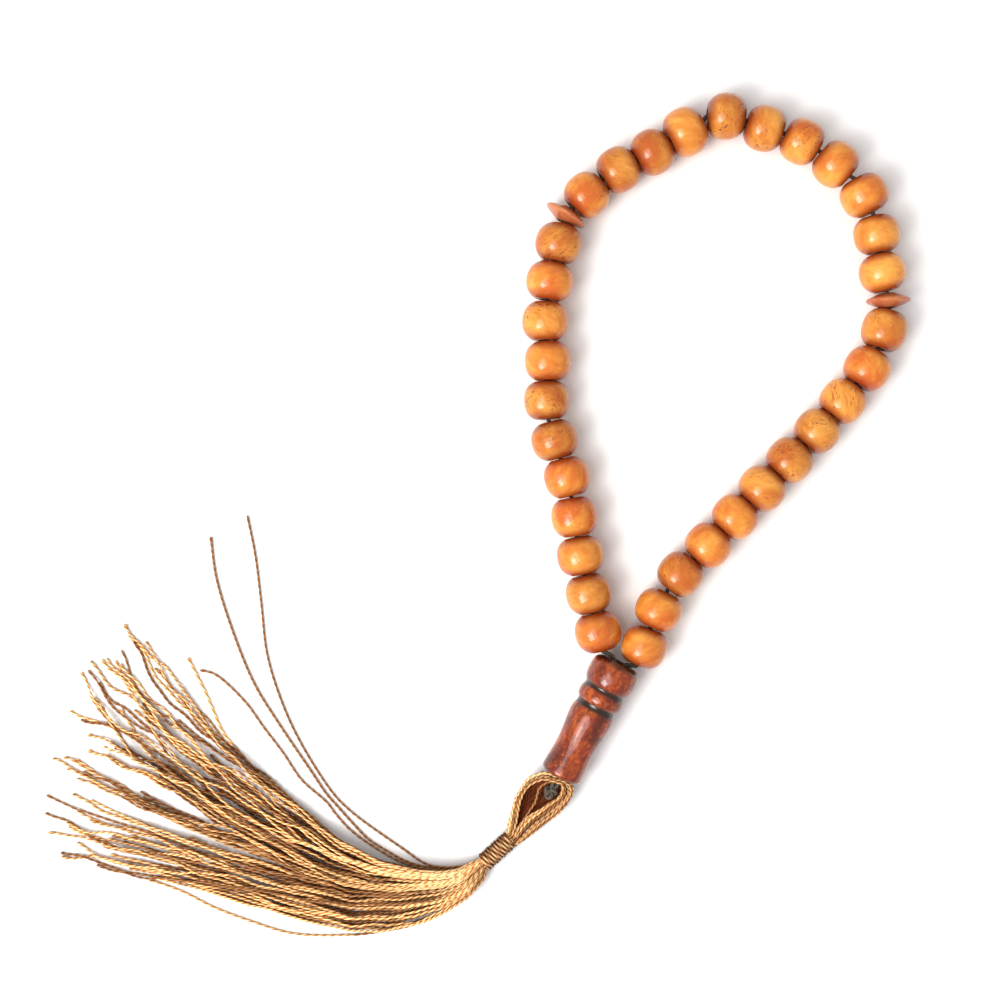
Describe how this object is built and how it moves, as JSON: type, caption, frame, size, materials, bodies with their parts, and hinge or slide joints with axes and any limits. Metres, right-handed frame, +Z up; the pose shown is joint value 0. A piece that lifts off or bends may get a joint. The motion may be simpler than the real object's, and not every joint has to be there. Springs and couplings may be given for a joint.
{
  "type": "misbaha prayer beads",
  "caption": "Loop of turned wooden prayer beads on one cord, parted by thin discs, closed by a long turned imam bead with a silk tassel lying to one side",
  "frame": {"origin": "on the table, under the middle of the beads, imam and skirt as they lie", "axes": "+Z up from the table; the loop of beads lies towards +X and +Y and the tassel towards -X and -Y; the imam points up and right from its foot, about 27 degrees off +Y"},
  "size_m": [0.1596, 0.1559, 0.0095],
  "materials": {
    "bead_wood": "honey-orange turned wood under gloss varnish",
    "disc_wood": "reddish brown turned wood under gloss varnish",
    "imam_wood": "mottled mahogany brown under gloss varnish, black-stained grooves",
    "cord": "grey-brown braided nylon",
    "tassel_thread": "golden tan two-ply silky thread",
    "binding_thread": "tan thread wound tight, brown between its turns"
  },
  "bodies": {
    "cord": {"stringing_cord": "cord"},
    "imam": {"imam_bead": "imam_wood"},
    "bead_01": {"bead_01": "bead_wood"},
    "bead_02": {"bead_02": "bead_wood"},
    "bead_03": {"bead_03": "bead_wood"},
    "bead_04": {"bead_04": "bead_wood"},
    "bead_05": {"bead_05": "bead_wood"},
    "bead_06": {"bead_06": "bead_wood"},
    "bead_07": {"bead_07": "bead_wood"},
    "bead_08": {"bead_08": "bead_wood"},
    "bead_09": {"bead_09": "bead_wood"},
    "bead_10": {"bead_10": "bead_wood"},
    "bead_11": {"bead_11": "bead_wood"},
    "divider_disc_1": {"divider_disc_1": "disc_wood"},
    "bead_12": {"bead_12": "bead_wood"},
    "bead_13": {"bead_13": "bead_wood"},
    "bead_14": {"bead_14": "bead_wood"},
    "bead_15": {"bead_15": "bead_wood"},
    "bead_16": {"bead_16": "bead_wood"},
    "bead_17": {"bead_17": "bead_wood"},
    "bead_18": {"bead_18": "bead_wood"},
    "bead_19": {"bead_19": "bead_wood"},
    "bead_20": {"bead_20": "bead_wood"},
    "bead_21": {"bead_21": "bead_wood"},
    "bead_22": {"bead_22": "bead_wood"},
    "divider_disc_2": {"divider_disc_2": "disc_wood"},
    "bead_23": {"bead_23": "bead_wood"},
    "bead_24": {"bead_24": "bead_wood"},
    "bead_25": {"bead_25": "bead_wood"},
    "bead_26": {"bead_26": "bead_wood"},
    "bead_27": {"bead_27": "bead_wood"},
    "bead_28": {"bead_28": "bead_wood"},
    "bead_29": {"bead_29": "bead_wood"},
    "bead_30": {"bead_30": "bead_wood"},
    "bead_31": {"bead_31": "bead_wood"},
    "bead_32": {"bead_32": "bead_wood"},
    "bead_33": {"bead_33": "bead_wood"},
    "tassel_head": {"cord_knot": "cord", "tassel_eye_left": "tassel_thread", "tassel_eye_right": "tassel_thread", "tassel_eye_back": "tassel_thread", "tassel_binding": "binding_thread", "tassel_core": "tassel_thread"},
    "tassel_skirt": {"skirt_lock_upper": "tassel_thread", "skirt_lock_middle": "tassel_thread", "skirt_lock_lower": "tassel_thread", "skirt_lock_outer": "tassel_thread", "stray_thread_1": "tassel_thread", "stray_thread_2": "tassel_thread", "stray_thread_3": "tassel_thread", "stray_thread_4": "tassel_thread", "stray_thread_5": "tassel_thread"}
  },
  "joints": [
    {"name": "imam_spin", "type": "hinge", "parent": "cord", "child": "imam", "pos_m": [0.01566, -0.0478, 0.00395], "axis": [0.4598, 0.8871, 0.0401], "continuous": true},
    {"name": "tassel_swing", "type": "hinge", "parent": "cord", "child": "tassel_head", "pos_m": [0.01538, -0.04833, 0.004], "axis": [0, 0, 1], "range_deg": [-18, 30]},
    {"name": "skirt_swing", "type": "hinge", "parent": "tassel_head", "child": "tassel_skirt", "pos_m": [0.00156, -0.0644, 0.0018], "axis": [0, 0, 1], "range_deg": [-15, 35]},
    {"name": "bead_01_spin", "type": "hinge", "parent": "cord", "child": "bead_01", "pos_m": [0.02254, -0.02144, 0.00424], "axis": [-0.2397, 0.9709, 0], "continuous": true},
    {"name": "bead_02_spin", "type": "hinge", "parent": "cord", "child": "bead_02", "pos_m": [0.0208, -0.01447, 0.00412], "axis": [-0.2278, 0.9737, 0], "continuous": true},
    {"name": "bead_03_spin", "type": "hinge", "parent": "cord", "child": "bead_03", "pos_m": [0.01929, -0.00748, 0.00425], "axis": [-0.1897, 0.9818, 0], "continuous": true},
    {"name": "bead_04_spin", "type": "hinge", "parent": "cord", "child": "bead_04", "pos_m": [0.01816, -0.00039, 0.00418], "axis": [-0.1493, 0.9888, 0], "continuous": true},
    {"name": "bead_05_spin", "type": "hinge", "parent": "cord", "child": "bead_05", "pos_m": [0.01684, 0.00686, 0.00415], "axis": [-0.2431, 0.97, 0], "continuous": true},
    {"name": "bead_06_spin", "type": "hinge", "parent": "cord", "child": "bead_06", "pos_m": [0.0146, 0.01367, 0.00426], "axis": [-0.2644, 0.9644, 0], "continuous": true},
    {"name": "bead_07_spin", "type": "hinge", "parent": "cord", "child": "bead_07", "pos_m": [0.01313, 0.02097, 0.00413], "axis": [-0.0602, 0.9982, 0], "continuous": true},
    {"name": "bead_08_spin", "type": "hinge", "parent": "cord", "child": "bead_08", "pos_m": [0.01335, 0.02815, 0.00422], "axis": [-0.0321, 0.9995, 0], "continuous": true},
    {"name": "bead_09_spin", "type": "hinge", "parent": "cord", "child": "bead_09", "pos_m": [0.01286, 0.03543, 0.00422], "axis": [0.0258, 0.9997, 0], "continuous": true},
    {"name": "bead_10_spin", "type": "hinge", "parent": "cord", "child": "bead_10", "pos_m": [0.01371, 0.04276, 0.00432], "axis": [0.1767, 0.9843, 0], "continuous": true},
    {"name": "bead_11_spin", "type": "hinge", "parent": "cord", "child": "bead_11", "pos_m": [0.01533, 0.0497, 0.00426], "axis": [0.2069, 0.9784, 0], "continuous": true},
    {"name": "divider_disc_1_spin", "type": "hinge", "parent": "cord", "child": "divider_disc_1", "pos_m": [0.01664, 0.05493, 0.00405], "axis": [0.5196, 0.8544, 0], "continuous": true},
    {"name": "bead_12_spin", "type": "hinge", "parent": "cord", "child": "bead_12", "pos_m": [0.0205, 0.05863, 0.00415], "axis": [0.7452, 0.6668, 0], "continuous": true},
    {"name": "bead_13_spin", "type": "hinge", "parent": "cord", "child": "bead_13", "pos_m": [0.02632, 0.06323, 0.00418], "axis": [0.8658, 0.5004, 0], "continuous": true},
    {"name": "bead_14_spin", "type": "hinge", "parent": "cord", "child": "bead_14", "pos_m": [0.03251, 0.06642, 0.00425], "axis": [0.8603, 0.5098, 0], "continuous": true},
    {"name": "bead_15_spin", "type": "hinge", "parent": "cord", "child": "bead_15", "pos_m": [0.03853, 0.07009, 0.00451], "axis": [0.8823, 0.4706, 0], "continuous": true},
    {"name": "bead_16_spin", "type": "hinge", "parent": "cord", "child": "bead_16", "pos_m": [0.04601, 0.073, 0.00424], "axis": [0.9969, -0.0792, 0], "continuous": true},
    {"name": "bead_17_spin", "type": "hinge", "parent": "cord", "child": "bead_17", "pos_m": [0.05306, 0.0708, 0.00419], "axis": [0.9598, -0.2808, 0], "continuous": true},
    {"name": "bead_18_spin", "type": "hinge", "parent": "cord", "child": "bead_18", "pos_m": [0.05993, 0.06837, 0.00414], "axis": [0.8896, -0.4568, 0], "continuous": true},
    {"name": "bead_19_spin", "type": "hinge", "parent": "cord", "child": "bead_19", "pos_m": [0.06604, 0.06421, 0.00426], "axis": [0.7737, -0.6335, 0], "continuous": true},
    {"name": "bead_20_spin", "type": "hinge", "parent": "cord", "child": "bead_20", "pos_m": [0.07129, 0.0585, 0.00433], "axis": [0.4704, -0.8825, 0], "continuous": true},
    {"name": "bead_21_spin", "type": "hinge", "parent": "cord", "child": "bead_21", "pos_m": [0.07364, 0.05133, 0.0042], "axis": [0.18, -0.9837, 0], "continuous": true},
    {"name": "bead_22_spin", "type": "hinge", "parent": "cord", "child": "bead_22", "pos_m": [0.07464, 0.04436, 0.00423], "axis": [0.2329, -0.9725, 0], "continuous": true},
    {"name": "divider_disc_2_spin", "type": "hinge", "parent": "cord", "child": "divider_disc_2", "pos_m": [0.07576, 0.03926, 0.00405], "axis": [0.0362, -0.9993, 0], "continuous": true},
    {"name": "bead_23_spin", "type": "hinge", "parent": "cord", "child": "bead_23", "pos_m": [0.07503, 0.03385, 0.00412], "axis": [-0.2705, -0.9627, 0], "continuous": true},
    {"name": "bead_24_spin", "type": "hinge", "parent": "cord", "child": "bead_24", "pos_m": [0.07186, 0.0268, 0.00426], "axis": [-0.5241, -0.8517, 0], "continuous": true},
    {"name": "bead_25_spin", "type": "hinge", "parent": "cord", "child": "bead_25", "pos_m": [0.06743, 0.02084, 0.00417], "axis": [-0.6377, -0.7703, 0], "continuous": true},
    {"name": "bead_26_spin", "type": "hinge", "parent": "cord", "child": "bead_26", "pos_m": [0.06273, 0.01537, 0.00416], "axis": [-0.6597, -0.7515, 0], "continuous": true},
    {"name": "bead_27_spin", "type": "hinge", "parent": "cord", "child": "bead_27", "pos_m": [0.05768, 0.01001, 0.00426], "axis": [-0.7022, -0.712, 0], "continuous": true},
    {"name": "bead_28_spin", "type": "hinge", "parent": "cord", "child": "bead_28", "pos_m": [0.0526, 0.00485, 0.00437], "axis": [-0.6913, -0.7226, 0], "continuous": true},
    {"name": "bead_29_spin", "type": "hinge", "parent": "cord", "child": "bead_29", "pos_m": [0.04768, -0.00033, 0.00423], "axis": [-0.6872, -0.7265, 0], "continuous": true},
    {"name": "bead_30_spin", "type": "hinge", "parent": "cord", "child": "bead_30", "pos_m": [0.04275, -0.00557, 0.00421], "axis": [-0.6845, -0.729, 0], "continuous": true},
    {"name": "bead_31_spin", "type": "hinge", "parent": "cord", "child": "bead_31", "pos_m": [0.03766, -0.01087, 0.00413], "axis": [-0.649, -0.7608, 0], "continuous": true},
    {"name": "bead_32_spin", "type": "hinge", "parent": "cord", "child": "bead_32", "pos_m": [0.03364, -0.01738, 0.00426], "axis": [-0.434, -0.9009, 0], "continuous": true},
    {"name": "bead_33_spin", "type": "hinge", "parent": "cord", "child": "bead_33", "pos_m": [0.03101, -0.02421, 0.00415], "axis": [-0.342, -0.9397, 0], "continuous": true}
  ]
}
